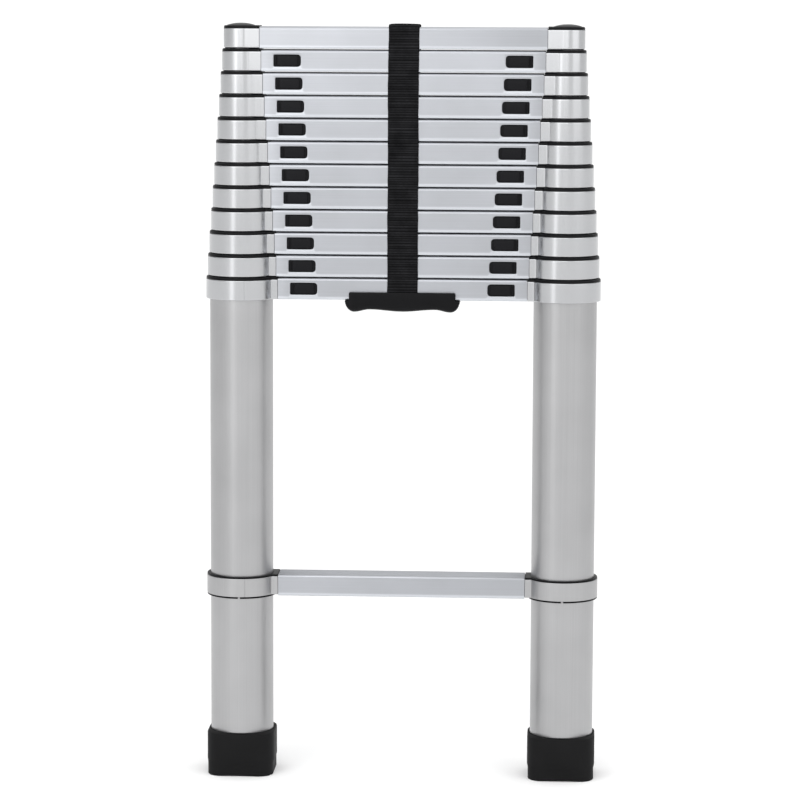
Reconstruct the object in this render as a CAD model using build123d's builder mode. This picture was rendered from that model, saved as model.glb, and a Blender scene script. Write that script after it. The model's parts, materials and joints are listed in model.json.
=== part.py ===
"""Telescoping ladder with thirteen rungs, folded down: twelve nested tube sections and a fixed lower rung.

Millimetres. Z is up, the front faces -Y, X runs along the rungs. The origin is on the floor, midway
between the feet. Section 1 is the widest, at the bottom, and section 12 the narrowest, at the top.
Each pair of stile pieces is made for the left stile and mirrored about the YZ plane.
"""

from build123d import *
import os

# Overall sizes
section_count = 12
stile_spacing = 394.0        # between the two tube axes
stack_bottom = 588.0         # underside of section 1's rung, above the floor
section_travel = 262.0       # how far each section slides out of the one below

# Tubes
bottom_tube_diameter = 77.0
tube_wall = 1.5
tube_gap = 0.5               # radial running gap between one tube and the next
tube_overlap = 55.0          # tube left below its latch hole
foot_floor = 8.0             # thickness of a boot's sole

# Rungs
rung_depth = 40.0
rung_height = 26.0
rung_gap = 1.5               # between stacked rungs
rung_wall = 1.5
rung_corner = 3.0
rung_end_gap = 0.4           # joint line between a rung and its collar neck
lower_rung_bottom = 223.0

# Collars: a plastic bush on the tube, wrapped in a keyhole-shaped aluminium band
bush_wall = 3.0
band_wall = 1.5
neck_reach = 2.7             # from the ring's outside to the end of the rung
band_reveal = 0.8            # bush showing below the band
band_drop = 2.2              # from the rung's top down to the band's top
flange_rise = 1.2            # flange above the rung's top
flange_inset = 0.3           # flange edge inside the band's outline
fit = 0.05                   # gap between pieces that are pressed or glued together
guide_gap = 0.3              # running gap round a sliding tube in its flange
lip_height = 2.0             # lip of the lower rung's bush, under its band
lip_drop = 0.7               # lip below the lower rung's underside
lip_inset = 0.7              # lip inside the band's outline
lip_slit = 3.0

# Tongue and latch housing inside the rung
tongue_length = 10.0
housing_floor = 2.0
housing_half_width = 9.0
housing_wall = 4.0
housing_side_gap = 3.5       # housing's end wall inside the rung's side walls
housing_length = 74.0
spring_spigot_radius = 3.0
spring_spigot_length = 3.0

# Latch
slot_start = 15.4            # from the end of the rung
slot_length = 33.0
slot_height = 14.6
slot_outer_corner = 1.5
slot_inner_corner = 4.0
button_outer_gap = 5.2       # slot left free on the stile's side of the thumb button
button_length = 24.0
button_height = 12.0
button_proud = 1.2
latch_travel = 3.5
ridge_offset = 2.2
ridge_width = 1.0
ridge_proud = 1.2
slide_gap = 0.3              # running gap round the slide
slide_margin = 4.4           # slide plate beyond each end of the slot
slide_plate = 2.5
slide_height = 18.0
block_start = 22.0
block_length = 22.0
block_rear = 7.0
pin_radius = 5.0
pin_gap = 0.3
pin_seat = 12.0
pin_bore_gap = 0.4
spring_radius = 4.6
spring_wire = 1.0
spring_length = 22.0         # shortest working length
block_bottom_gap = 0.5

# Rivets and screws
rivet_radius = 1.6
rivet_head_radius = 3.2
rivet_head_height = 1.2
rivet_length = 7.0
rivet_offset = 5.0
hole_gap = 0.05
screw_radius = 2.0
screw_head_radius = 4.0
screw_head_height = 2.5
screw_length = 16.0
screw_spacing = 90.0

# End plugs and caps
plug_flange_height = 4.0
plug_gap = 0.2               # running gap of the plug's glide ring in the tube round it
plug_spigot = 10.0
plug_wall = 3.5
plug_web = 2.5
vent_radius = 2.5
cap_radius = 17.0
cap_edge = 0.6
cap_crown = 3.1
cap_spigot = 12.0
cap_flange_wall = 3.0        # the top flange reaches this far inside the tube's outside

# Boots
boot_width = 83.7
boot_height = 54.0
boot_corner = 20.0
sole_width = 81.5
sole_corner = 15.0
sole_height = 14.0
boot_shoulder = 4.0
tread_width = 3.0
tread_depth = 2.0
tread_spacing = 20.0
foot_plug_height = 20.0

# Carry handle and strap
handle_length = 129.0
grip_length = 139.0
handle_wall = 4.9
handle_lap = 9.6             # wall height beside the rung
grip_drop = 14.8             # from the rung's underside to the end lobes
grip_ledge = 0.8             # the ledges beside the walls stand this far under the rung
grip_edge = 8.0              # rounding along the grip's underside
grip_wall_corner = 2.0
grip_lobe = 11.0             # from the grip's end to the lowest point of its lobe
grip_lobe_side = (3.0, 5.0)  # a point on the lobe's outside: from the end, and up from the lowest point
grip_arch_share = 0.57       # place of the arch, as a share of half the grip
grip_arch_rise = 3.2
grip_belly_rise = 0.6
strap_width = 37.0
strap_thickness = 1.8
strap_gap = 0.3
strap_rise = 2.0             # strap over the top rung
strap_tuck = 1.5             # strap ends stop this far above the rung's underside
strap_bend = 5.0
pocket_side_gap = 1.0

stile_x = stile_spacing / 2
rung_pitch = rung_height + rung_gap
half_depth = rung_depth / 2


# Positions that several pieces share
def rung_bottom(n):
    return stack_bottom + (n - 1) * rung_pitch


def tube_radius(n):
    return bottom_tube_diameter / 2 - (n - 1) * (tube_wall + tube_gap)


def tube_top(n):
    return rung_bottom(n) + rung_height - band_drop


def latch_hole_z(n):
    """Height of the hole in section n's tubes that the pins of the section below it enter."""
    return rung_bottom(n - 1) + rung_height / 2 - section_travel


def tube_bottom(n):
    return foot_floor if n == 1 else latch_hole_z(n) - tube_overlap


def collar_radius(n):
    return tube_radius(n) + bush_wall + band_wall


def rung_end(n):
    """Distance from a stile's axis to the end of section n's rung."""
    return collar_radius(n) + neck_reach


def guide_radius(n):
    """Inside radius of section n's flange: round the next tube, or under the cap on the top section."""
    if n == section_count:
        return tube_radius(n) - cap_flange_wall
    return tube_radius(n + 1) + guide_gap


# Tubes: round aluminium extrusions, with latch holes drilled on the side that faces the rung
def make_tubes(n):
    bore = pin_radius + pin_bore_gap
    holes = []
    if n > 1:
        holes.append(latch_hole_z(n))
    if n < section_count:
        holes.append(rung_bottom(n) + rung_height / 2)
    with BuildPart() as tubes:
        with BuildSketch(Plane.XY.offset(tube_bottom(n))):
            with Locations((-stile_x, 0)):
                Circle(tube_radius(n))
                Circle(tube_radius(n) - tube_wall, mode=Mode.SUBTRACT)
        extrude(amount=tube_top(n) - tube_bottom(n))
        for hole_z in holes:
            with BuildSketch(Plane.YZ.offset(-stile_x)):
                with Locations((0, hole_z)):
                    Circle(bore)
            extrude(amount=tube_radius(n) + tube_wall, mode=Mode.SUBTRACT)
        mirror(about=Plane.YZ)
    return tubes.part


# Rungs: rectangular aluminium extrusions with rounded edges
def make_rung(bottom, end, with_slots=False, screw_holes=False):
    length = 2 * (stile_x - end - rung_end_gap)
    middle = bottom + rung_height / 2
    with BuildPart() as rung:
        with BuildSketch(Plane.YZ.offset(-length / 2)):
            with Locations((0, middle)):
                RectangleRounded(rung_depth, rung_height, rung_corner)
                RectangleRounded(rung_depth - 2 * rung_wall, rung_height - 2 * rung_wall,
                                 rung_corner - rung_wall, mode=Mode.SUBTRACT)
        extrude(amount=length)
        with BuildSketch(Plane.XZ.offset(-half_depth)):
            with Locations((-stile_x + end + rivet_offset, middle), (stile_x - end - rivet_offset, middle)):
                Circle(rivet_radius + hole_gap)
        extrude(amount=2 * rung_wall, mode=Mode.SUBTRACT)
        if with_slots:
            slot_middle = -stile_x + end + slot_start + slot_length / 2
            with BuildSketch(Plane.XZ.offset(half_depth)) as slots:
                with Locations((slot_middle, middle)):
                    Rectangle(slot_length, slot_height)
                fillet(slots.vertices().group_by(Axis.X)[0], slot_outer_corner)
                fillet(slots.vertices().group_by(Axis.X)[-1], slot_inner_corner)
                mirror(about=Plane.YZ)
            extrude(amount=-2 * rung_wall, mode=Mode.SUBTRACT)
        if screw_holes:
            with BuildSketch(Plane.XY.offset(bottom)):
                with GridLocations(screw_spacing, 0, 2, 1):
                    Circle(screw_radius + hole_gap)
            extrude(amount=2 * rung_wall, mode=Mode.SUBTRACT)
    return rung.part


# Bands: aluminium, keyhole-shaped, open towards the rung
def make_bands(radius, end, bottom, top):
    with BuildPart() as bands:
        with BuildSketch(Plane.XY.offset(bottom)):
            with Locations((-stile_x, 0)):
                Circle(radius)
            with Locations((-stile_x + end / 2, 0)):
                Rectangle(end, rung_depth)
            with Locations((-stile_x, 0)):
                Circle(radius - band_wall, mode=Mode.SUBTRACT)
            with Locations((-stile_x + (band_wall + end) / 2, 0)):
                Rectangle(end - band_wall, rung_depth - 2 * band_wall, mode=Mode.SUBTRACT)
        extrude(amount=top - bottom)
        mirror(about=Plane.YZ)
    return bands.part


# Rivets: aluminium blind rivets that hold a rung's rear wall to the tongues in its ends
def make_rivets(bottom, end):
    middle = bottom + rung_height / 2
    with BuildPart() as rivets:
        with BuildSketch(Plane.XZ.offset(-half_depth)):
            with Locations((-stile_x + end + rivet_offset, middle)):
                Circle(rivet_head_radius)
        extrude(amount=-rivet_head_height)
        fillet(rivets.faces().sort_by(Axis.Y)[-1].edges(), rivet_head_height / 2)
        with BuildSketch(Plane.XZ.offset(-half_depth)):
            with Locations((-stile_x + end + rivet_offset, middle)):
                Circle(rivet_radius)
        extrude(amount=rivet_length)
        mirror(about=Plane.YZ)
    return rivets.part


# Bushes: one black moulding per stile, with the ring, the neck, the flange and the rung's tongue
def make_bushes(tube_r, guide_r, end, bottom, with_housing):
    radius = tube_r + bush_wall
    middle = bottom + rung_height / 2
    neck_half = half_depth - band_wall - fit
    neck_start = band_wall + fit
    housing_depth = rung_depth - 2 * (rung_wall + housing_side_gap)
    inside_height = rung_height - 2 * rung_wall - 2 * fit
    inside_depth = rung_depth - 2 * rung_wall - 2 * fit
    body_top = bottom + rung_height - band_drop
    with BuildPart() as bushes:
        with BuildSketch(Plane.XY.offset(bottom)):
            with Locations((-stile_x, 0)):
                Circle(radius - fit)
            with Locations((-stile_x + (neck_start + end) / 2, 0)):
                Rectangle(end - neck_start, 2 * neck_half)
            with Locations((-stile_x, 0)):
                Circle(tube_r + fit, mode=Mode.SUBTRACT)
        extrude(amount=body_top - bottom)
        with BuildSketch(Plane.XY.offset(body_top)):
            with Locations((-stile_x, 0)):
                Circle(radius + band_wall - flange_inset)
            with Locations((-stile_x + (end - flange_inset) / 2, 0)):
                Rectangle(end - flange_inset, rung_depth - 2 * flange_inset)
            with Locations((-stile_x, 0)):
                Circle(guide_r, mode=Mode.SUBTRACT)
        extrude(amount=band_drop + flange_rise)
        with BuildSketch(Plane.YZ.offset(-stile_x + end)):
            with Locations((0, middle)):
                RectangleRounded(inside_depth, inside_height, rung_corner - rung_wall)
        extrude(amount=tongue_length)
        with BuildSketch(Plane.XZ.offset(-half_depth)):
            with Locations((-stile_x + end + rivet_offset, middle)):
                Circle(rivet_radius + hole_gap)
        extrude(amount=rivet_length + fit, mode=Mode.SUBTRACT)
        if with_housing:
            floor_z = middle - inside_height / 2 + housing_floor / 2
            wall_x = -stile_x + end + housing_length - housing_wall
            with BuildSketch(Plane.YZ.offset(-stile_x + end + tongue_length)):
                with Locations((0, floor_z)):
                    Rectangle(2 * housing_half_width, housing_floor)
            extrude(amount=housing_length - tongue_length)
            with BuildSketch(Plane.YZ.offset(wall_x)):
                with Locations((0, middle)):
                    Rectangle(housing_depth, inside_height)
            extrude(amount=housing_wall)
            with BuildSketch(Plane.YZ.offset(wall_x)):
                with Locations((0, middle)):
                    Circle(spring_spigot_radius)
            extrude(amount=-spring_spigot_length)
            with BuildSketch(Plane.YZ.offset(-stile_x)):
                with Locations((0, middle)):
                    Circle(pin_radius + pin_bore_gap)
            extrude(amount=end + tongue_length, mode=Mode.SUBTRACT)
        mirror(about=Plane.YZ)
    return bushes.part


# End plugs: they close the tubes' lower ends and carry the glide ring
def make_end_plugs(n):
    inside = tube_radius(n) - tube_wall
    with BuildPart() as plugs:
        with BuildSketch(Plane.XY.offset(tube_bottom(n) - plug_flange_height)):
            with Locations((-stile_x, 0)):
                Circle(tube_radius(n) + tube_gap - plug_gap)
        extrude(amount=plug_flange_height)
        with BuildSketch(Plane.XY.offset(tube_bottom(n))):
            with Locations((-stile_x, 0)):
                Circle(inside - fit)
        extrude(amount=plug_spigot)
        with BuildSketch(Plane.XY.offset(tube_bottom(n) - plug_flange_height + plug_web)):
            with Locations((-stile_x, 0)):
                Circle(inside - plug_wall)
        extrude(amount=plug_flange_height + plug_spigot, mode=Mode.SUBTRACT)
        with BuildSketch(Plane.XY.offset(tube_bottom(n) - plug_flange_height)):
            with Locations((-stile_x, 0)):
                Circle(vent_radius)
        extrude(amount=plug_web, mode=Mode.SUBTRACT)
        mirror(about=Plane.YZ)
    return plugs.part


# Latches: a black slide with its thumb button, a steel pin and a return spring, for the left stile
def make_latch(n):
    end_x = -stile_x + rung_end(n)
    middle = rung_bottom(n) + rung_height / 2
    plate_front = half_depth - rung_wall - slide_gap
    plate_rear = plate_front - slide_plate
    plate_start = end_x + slot_start - slide_margin
    plate_length = slot_length + 2 * slide_margin + latch_travel
    button_start = end_x + slot_start + button_outer_gap
    ridge_start = end_x + slot_start + ridge_offset
    block_x = end_x + block_start
    block_bottom = rung_bottom(n) + rung_wall + fit + housing_floor + block_bottom_gap
    block_half = middle - block_bottom
    with BuildPart() as slide:
        with BuildSketch(Plane.XZ.offset(plate_front)):
            with Locations((plate_start + plate_length / 2, middle)):
                Rectangle(plate_length, slide_height)
        extrude(amount=-slide_plate)
        with BuildSketch(Plane.XZ.offset(plate_front)) as button:
            with Locations((button_start + button_length / 2, middle)):
                Rectangle(button_length, button_height)
            fillet(button.vertices(), slot_outer_corner)
        extrude(amount=half_depth + button_proud - plate_front)
        with BuildSketch(Plane.XZ.offset(plate_front)):
            with Locations((ridge_start + ridge_width / 2, middle)):
                Rectangle(ridge_width, button_height)
        extrude(amount=ridge_proud)
        with BuildSketch(Plane.XZ.offset(plate_rear)):
            with Locations((block_x + block_length / 2, middle)):
                Rectangle(block_length, 2 * block_half)
        extrude(amount=-plate_rear - block_rear)
        with BuildSketch(Plane.YZ.offset(block_x)):
            with Locations((0, middle)):
                Circle(pin_radius + fit)
        extrude(amount=pin_seat, mode=Mode.SUBTRACT)
    with BuildPart() as pin:
        pin_start = -stile_x + tube_radius(n + 1) + pin_gap
        with BuildSketch(Plane.YZ.offset(pin_start)):
            with Locations((0, middle)):
                Circle(pin_radius)
        extrude(amount=block_x + pin_seat - fit - pin_start)
        chamfer(pin.faces().sort_by(Axis.X)[0].edges(), pin_gap)
    with BuildPart() as spring:
        with BuildSketch(Plane.YZ.offset(block_x + block_length + fit)):
            with Locations((0, middle)):
                Circle(spring_radius)
                Circle(spring_radius - spring_wire, mode=Mode.SUBTRACT)
        extrude(amount=spring_length)
    return [slide.part, pin.part, spring.part]


def save(name, *pieces):
    """Writes one node, with every solid of its pieces kept apart."""
    solids = [solid for piece in pieces for solid in piece.solids()]
    node = Compound(label=name, children=solids)
    export_step(node, f"parts/{name}.step")


os.makedirs("parts", exist_ok=True)

# The twelve telescoping sections
for n in range(1, section_count + 1):
    bottom = rung_bottom(n)
    end = rung_end(n)
    band_bottom = bottom + (band_reveal if n > 1 else 0)
    has_latches = n < section_count
    tubes = make_tubes(n)
    rung = make_rung(bottom, end, with_slots=has_latches, screw_holes=n == 1)
    bands = make_bands(collar_radius(n), end, band_bottom, tube_top(n))
    rivets = make_rivets(bottom, end)
    bushes = make_bushes(tube_radius(n), guide_radius(n), end, bottom, with_housing=has_latches)
    if n == 1:
        save("bottom_tubes", tubes)
        save("bottom_rung", rung, rivets)
        save("bottom_bands", bands)
        save("bottom_bushes", bushes)
    elif n == section_count:
        save("top_tubes", tubes)
        save("top_rung", rung, rivets)
        save("top_bands", bands)
        save("top_bushes", bushes, make_end_plugs(n))
    else:
        save(f"section_{n:02d}_frame", tubes, rung, bands, rivets)
        save(f"section_{n:02d}_bushes", bushes, make_end_plugs(n))
    if has_latches:
        left_latch = make_latch(n)
        save(f"latch_{n:02d}_left", *left_latch)
        save(f"latch_{n:02d}_right", *[piece.mirror(Plane.YZ) for piece in left_latch])

# Caps: domed plugs in the tops of the narrowest tubes
cap_z = rung_bottom(section_count) + rung_height + flange_rise
with BuildPart() as top_caps:
    with BuildSketch(Plane.XY.offset(cap_z)):
        with Locations((-stile_x, 0)):
            Circle(cap_radius)
    extrude(amount=cap_crown)
    fillet(top_caps.faces().sort_by(Axis.Z)[-1].edges(), cap_crown - cap_edge)
    with BuildSketch(Plane.XY.offset(cap_z - cap_spigot)):
        with Locations((-stile_x, 0)):
            Circle(guide_radius(section_count) - fit)
    extrude(amount=cap_spigot)
    mirror(about=Plane.YZ)
save("top_caps", top_caps.part)

# The fixed lower rung, clamped round the widest tubes
lower_end = rung_end(1)
band_low = lower_rung_bottom - lip_drop + lip_height
band_high = lower_rung_bottom + rung_height - band_drop
save("lower_rung", make_rung(lower_rung_bottom, lower_end))
save("lower_rung_bands", make_bands(collar_radius(1), lower_end, band_low, band_high))
save("lower_rung_rivets", make_rivets(lower_rung_bottom, lower_end))

with BuildPart() as lower_rung_bushes:
    clamp_bore = tube_radius(1) + fit
    tongue_middle = lower_rung_bottom + rung_height / 2
    with BuildSketch(Plane.XY.offset(band_low - lip_height)):
        with Locations((-stile_x, 0)):
            Circle(collar_radius(1) - lip_inset)
    extrude(amount=lip_height)
    with BuildSketch(Plane.XY.offset(band_low)):
        with Locations((-stile_x, 0)):
            Circle(collar_radius(1) - band_wall - fit)
        with Locations((-stile_x + lower_end / 2, 0)):
            Rectangle(lower_end, 2 * (half_depth - band_wall - fit))
    extrude(amount=band_high - band_low)
    with BuildSketch(Plane.XY.offset(band_high)):
        with Locations((-stile_x, 0)):
            Circle(collar_radius(1) - flange_inset)
        with Locations((-stile_x + (lower_end - flange_inset) / 2, 0)):
            Rectangle(lower_end - flange_inset, rung_depth - 2 * flange_inset)
    extrude(amount=band_drop)
    with BuildSketch(Plane.XY.offset(lower_rung_bottom - rung_height)):
        with Locations((-stile_x, 0)):
            Circle(clamp_bore)
    extrude(amount=3 * rung_height, mode=Mode.SUBTRACT)
    with BuildSketch(Plane.XY.offset(band_low - lip_height)):
        with Locations((-stile_x, -clamp_bore - bush_wall)):
            Rectangle(lip_slit, 2 * bush_wall + band_wall)
    extrude(amount=lip_height, mode=Mode.SUBTRACT)
    with BuildSketch(Plane.YZ.offset(-stile_x + lower_end)):
        with Locations((0, tongue_middle)):
            RectangleRounded(rung_depth - 2 * (rung_wall + fit), rung_height - 2 * (rung_wall + fit),
                             rung_corner - rung_wall)
    extrude(amount=tongue_length)
    with BuildSketch(Plane.XZ.offset(-half_depth)):
        with Locations((-stile_x + lower_end + rivet_offset, tongue_middle)):
            Circle(rivet_radius + hole_gap)
    extrude(amount=rivet_length + fit, mode=Mode.SUBTRACT)
    mirror(about=Plane.YZ)
save("lower_rung_bushes", lower_rung_bushes.part)

# Boots: moulded rubber, square at the sole, pushed over the tube ends
with BuildPart() as foot_boots:
    with BuildSketch() as sole_outline:
        with Locations((-stile_x, 0)):
            RectangleRounded(sole_width, sole_width, sole_corner)
    extrude(amount=sole_height)
    with BuildSketch(Plane.XY.offset(sole_height)) as shoulder_low:
        with Locations((-stile_x, 0)):
            RectangleRounded(sole_width, sole_width, sole_corner)
    with BuildSketch(Plane.XY.offset(sole_height + boot_shoulder)) as shoulder_high:
        with Locations((-stile_x, 0)):
            RectangleRounded(boot_width, boot_width, boot_corner)
    loft(sections=[shoulder_low.sketch, shoulder_high.sketch])
    with BuildSketch(Plane.XY.offset(sole_height + boot_shoulder)):
        with Locations((-stile_x, 0)):
            RectangleRounded(boot_width, boot_width, boot_corner)
    extrude(amount=boot_height - sole_height - boot_shoulder)
    with BuildSketch(Plane.XY.offset(foot_floor - fit)):
        with Locations((-stile_x, 0)):
            Circle(tube_radius(1) + fit)
    extrude(amount=boot_height, mode=Mode.SUBTRACT)
    with BuildSketch():
        with Locations((-stile_x, 0)):
            with GridLocations(0, tread_spacing, 1, 4):
                Rectangle(sole_width, tread_width)
    extrude(amount=tread_depth, mode=Mode.SUBTRACT)
    mirror(about=Plane.YZ)
save("foot_boots", foot_boots.part)

# Foot plugs: hard plastic cups that stop the tube ends cutting the boots
with BuildPart() as foot_plugs:
    with BuildSketch(Plane.XY.offset(foot_floor)):
        with Locations((-stile_x, 0)):
            Circle(tube_radius(1) - tube_wall - fit)
    extrude(amount=foot_plug_height)
    with BuildSketch(Plane.XY.offset(foot_floor + plug_web)):
        with Locations((-stile_x, 0)):
            Circle(tube_radius(1) - tube_wall - plug_wall)
    extrude(amount=foot_plug_height, mode=Mode.SUBTRACT)
    mirror(about=Plane.YZ)
save("foot_plugs", foot_plugs.part)

# Carry handle: a moulded grip under section 1's rung, with walls that lap its front and rear
handle_half = half_depth + handle_wall
grip_top = stack_bottom - grip_ledge
grip_low = stack_bottom - grip_drop
pocket_depth = strap_gap + strap_thickness + strap_gap
with BuildPart() as carry_handle:
    with BuildSketch(Plane.XZ.offset(handle_half)):
        with BuildLine() as outline:
            half_plate = handle_length / 2
            half_grip = grip_length / 2
            lobe_x = half_grip - grip_lobe
            side_x = half_grip - grip_lobe_side[0]
            side_z = grip_low + grip_lobe_side[1]
            arch = (half_grip * grip_arch_share, grip_low + grip_arch_rise)
            Polyline((-half_grip, grip_top), (-half_plate, grip_top),
                     (-half_plate, stack_bottom + handle_lap), (half_plate, stack_bottom + handle_lap),
                     (half_plate, grip_top), (half_grip, grip_top))
            Spline((half_grip, grip_top), (side_x, side_z), (lobe_x, grip_low), arch,
                   (0, grip_low + grip_belly_rise), (-arch[0], arch[1]), (-lobe_x, grip_low),
                   (-side_x, side_z), (-half_grip, grip_top))
        make_face()
    extrude(amount=-2 * handle_half)
    with BuildSketch(Plane.YZ.offset(-grip_length)):
        with Locations((0, stack_bottom + (handle_lap - grip_drop) / 2)):
            RectangleRounded(2 * handle_half, grip_drop + handle_lap + grip_wall_corner, grip_edge)
        with Locations((0, stack_bottom + handle_lap)):
            Rectangle(2 * handle_half, grip_drop + handle_lap)
    extrude(amount=2 * grip_length, mode=Mode.INTERSECT)
    with BuildSketch(Plane.YZ.offset(-grip_length)):
        with Locations((0, stack_bottom + rung_height / 2)):
            Rectangle(rung_depth + 2 * fit, rung_height + 2 * fit)
    extrude(amount=2 * grip_length, mode=Mode.SUBTRACT)
    with BuildSketch(Plane.XY.offset(stack_bottom)):
        Rectangle(strap_width + 2 * pocket_side_gap, rung_depth + 2 * pocket_depth)
    extrude(amount=rung_height, mode=Mode.SUBTRACT)
    with BuildSketch(Plane.XY.offset(grip_low)):
        with GridLocations(screw_spacing, 0, 2, 1):
            Circle(screw_radius + hole_gap)
    extrude(amount=grip_drop, mode=Mode.SUBTRACT)
    with BuildSketch(Plane.XY.offset(grip_low)):
        with GridLocations(screw_spacing, 0, 2, 1):
            Circle(screw_head_radius + fit)
    extrude(amount=grip_drop / 2, mode=Mode.SUBTRACT)
save("carry_handle", carry_handle.part)

with BuildPart() as handle_screws:
    with BuildSketch(Plane.XY.offset(grip_low + grip_drop / 2 - screw_head_height)):
        with GridLocations(screw_spacing, 0, 2, 1):
            Circle(screw_head_radius)
    extrude(amount=screw_head_height)
    with BuildSketch(Plane.XY.offset(grip_low + grip_drop / 2)):
        with GridLocations(screw_spacing, 0, 2, 1):
            Circle(screw_radius)
    extrude(amount=screw_length)
save("handle_screws", handle_screws.part)

# Carry strap: webbing over the top rung, with both ends tucked into the handle's pockets
strap_inside = half_depth + strap_gap
strap_low = stack_bottom + strap_tuck
strap_high = rung_bottom(section_count) + rung_height + strap_rise
with BuildPart() as carry_strap:
    with BuildSketch(Plane.YZ.offset(-strap_width / 2)) as strap_profile:
        with BuildLine():
            middle_line = FilletPolyline(
                (-strap_inside - strap_thickness / 2, strap_low),
                (-strap_inside - strap_thickness / 2, strap_high + strap_thickness / 2),
                (strap_inside + strap_thickness / 2, strap_high + strap_thickness / 2),
                (strap_inside + strap_thickness / 2, strap_low),
                radius=strap_bend,
            )
            offset(middle_line, amount=strap_thickness / 2, side=Side.BOTH)
        make_face()
    extrude(amount=strap_width)
save("carry_strap", carry_strap.part)
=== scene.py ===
"""A telescoping ladder, folded down: the look of every piece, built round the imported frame."""

import json
import math

import bmesh
import bpy
import numpy as np
from mathutils import Matrix, Vector


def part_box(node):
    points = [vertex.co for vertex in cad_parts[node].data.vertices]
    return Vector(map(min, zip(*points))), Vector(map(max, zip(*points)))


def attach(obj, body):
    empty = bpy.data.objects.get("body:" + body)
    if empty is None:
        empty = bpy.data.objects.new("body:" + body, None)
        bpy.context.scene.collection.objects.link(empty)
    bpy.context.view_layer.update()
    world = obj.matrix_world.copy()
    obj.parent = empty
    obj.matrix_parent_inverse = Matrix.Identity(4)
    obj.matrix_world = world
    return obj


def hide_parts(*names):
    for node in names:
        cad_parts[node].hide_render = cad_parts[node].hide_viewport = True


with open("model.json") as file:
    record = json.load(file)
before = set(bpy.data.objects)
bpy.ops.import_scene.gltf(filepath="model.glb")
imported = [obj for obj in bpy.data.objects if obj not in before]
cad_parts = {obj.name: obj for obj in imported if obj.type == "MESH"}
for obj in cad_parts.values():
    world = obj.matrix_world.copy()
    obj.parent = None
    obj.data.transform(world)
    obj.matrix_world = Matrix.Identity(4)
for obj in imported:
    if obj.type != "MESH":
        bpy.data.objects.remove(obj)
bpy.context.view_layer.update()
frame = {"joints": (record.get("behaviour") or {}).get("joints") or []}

# --- Stile tubes ---------------------------------------------------------------------------------
# Twelve pairs of round aluminium tubes, one inside the other. Each is a drawn 6000-series extrusion,
# sawn square, with its edges broken, then satin anodised. A row of points edge_hold from each
# rounded edge keeps the shading of the long straight wall level.
mm = 0.001
tube_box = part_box("bottom_tubes")
top_tube_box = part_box("top_tubes")
section_count = 1 + sum(joint["name"].startswith("slide_") for joint in frame["joints"])
bottom_tube_radius = (tube_box[1].y - tube_box[0].y) / 2
top_tube_radius = (top_tube_box[1].y - top_tube_box[0].y) / 2
radius_step = (bottom_tube_radius - top_tube_radius) / (section_count - 1)
stile_x = tube_box[1].x - bottom_tube_radius
rung_pitch = (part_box("top_rung")[0].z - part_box("bottom_rung")[0].z) / (section_count - 1)
tube_wall = 1.5 * mm
sawn_edge = 0.4 * mm
edge_hold = 0.6 * mm
weld = 0.002 * mm
turn_steps = 112


def tube_radius(n):
    return bottom_tube_radius - (n - 1) * radius_step


def body_name(n):
    return {1: "bottom_section", section_count: "top_section"}.get(n, f"section_{n:02d}")


def node_names(n, bottom, middle, top):
    """The CAD nodes of section n: bottom and top list those of the end sections, and middle is the
    ending of the others' names."""
    return {1: bottom, section_count: top}.get(n, (f"section_{n:02d}_{middle}",))


def surface(points, close_rows=False, close_columns=False):
    """A grid of points, rows by columns by 3, with the quads between them."""
    rows, columns = points.shape[:2]
    i, j = np.mgrid[0:rows - (not close_rows), 0:columns - (not close_columns)]
    below, right = (i + 1) % rows, (j + 1) % columns
    corners = (i * columns + j, i * columns + right, below * columns + right, below * columns + j)
    return points.reshape(-1, 3), np.stack(corners, -1).reshape(-1, 4)


def cover(loop):
    """One flat face over a closed loop of points."""
    return loop, np.arange(len(loop))[None, :]


def mirrored(parts):
    """The same surfaces for both stiles: x becomes -x for the second."""
    return parts + [(points * (-1, 1, 1), faces) for points, faces in parts]


def arc(centre, radius, start, end, steps=6):
    """Points of a circle's arc, from one angle to another, in degrees."""
    angle = np.radians(np.linspace(start, end, steps + 1))
    return np.stack((centre[0] + radius * np.cos(angle), centre[1] + radius * np.sin(angle)), -1)


def make_mesh(name, parts):
    """Joins surfaces to one mesh: points that meet are welded, and faces are turned outwards."""
    starts = np.cumsum([0] + [len(points) for points, faces in parts])
    faces = [face for part, start in zip(parts, starts) for face in (part[1] + start).tolist()]
    mesh = bpy.data.meshes.new(name)
    mesh.from_pydata(np.vstack([points for points, _ in parts]).tolist(), [], faces)
    work = bmesh.new()
    work.from_mesh(mesh)
    bmesh.ops.remove_doubles(work, verts=work.verts, dist=weld)
    bmesh.ops.recalc_face_normals(work, faces=work.faces)
    work.to_mesh(mesh)
    work.free()
    return mesh


def add_object(name, data):
    """A new object in the scene that holds the given mesh, light or camera."""
    thing = bpy.data.objects.new(name, data)
    bpy.context.scene.collection.objects.link(thing)
    return thing


def make_piece(name, parts, finish, body, nodes, crease=38):
    """A finished piece that rides on a body. Edges that turn by more than crease degrees stay sharp."""
    mesh = make_mesh(name, parts)
    mesh.shade_smooth()
    mesh.set_sharp_from_angle(angle=math.radians(crease))
    mesh.materials.append(finish)
    piece = add_object(name, mesh)
    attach(piece, body)
    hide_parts(*nodes)
    return piece


def turned(profile, x=0.0, y=0.0, steps=turn_steps):
    """A profile of (radius, height) points turned round the vertical axis through (x, y)."""
    angle = np.linspace(0, 2 * math.pi, steps, endpoint=False)[None, :]
    radius, height = profile[:, :1], profile[:, 1:]
    return np.stack((x + radius * np.cos(angle), y + radius * np.sin(angle), height + 0 * angle), -1)


def linear(hex_colour):
    """An sRGB hex colour as linear red, green, blue and alpha."""
    srgb = [int(hex_colour[i:i + 2], 16) / 255 for i in (1, 3, 5)]
    return [c / 12.92 if c <= 0.04045 else ((c + 0.055) / 1.055) ** 2.4 for c in srgb] + [1.0]


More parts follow.
